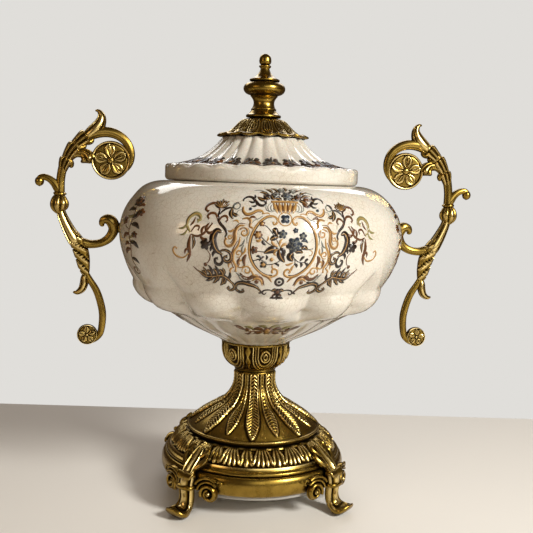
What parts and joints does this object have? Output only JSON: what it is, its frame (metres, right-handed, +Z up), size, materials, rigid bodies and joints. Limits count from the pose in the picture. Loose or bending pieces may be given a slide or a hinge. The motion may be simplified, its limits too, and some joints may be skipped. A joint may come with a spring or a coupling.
{
  "type": "mantel urn",
  "caption": "Covered mantel urn: a lobed cream ceramic bowl and fluted lid on a cast brass stand with scrolled feet, brass scroll handles and a turned brass finial.",
  "frame": {"origin": "on the surface the urn stands on, under the middle of the stand", "axes": "+Z up along the axis of the bowl and stem, +X towards the right-hand handle, -Y towards the front"},
  "size_m": [0.3986, 0.258, 0.3967],
  "materials": {
    "cream_glaze": "glossy crackled glaze",
    "cast_brass": "antique gilt cast brass",
    "grey_pad": "matt felt"
  },
  "bodies": {
    "root": {"bowl": "cream_glaze", "lid": "cream_glaze", "finial": "cast_brass", "finial_skirt": "cast_brass", "collar": "cast_brass", "stem": "cast_brass", "plinth": "cast_brass", "base_pad": "grey_pad", "foot_front_left": "cast_brass", "foot_front_right": "cast_brass", "foot_back_left": "cast_brass", "foot_back_right": "cast_brass", "handle_left": "cast_brass", "handle_right": "cast_brass"}
  },
  "joints": []
}
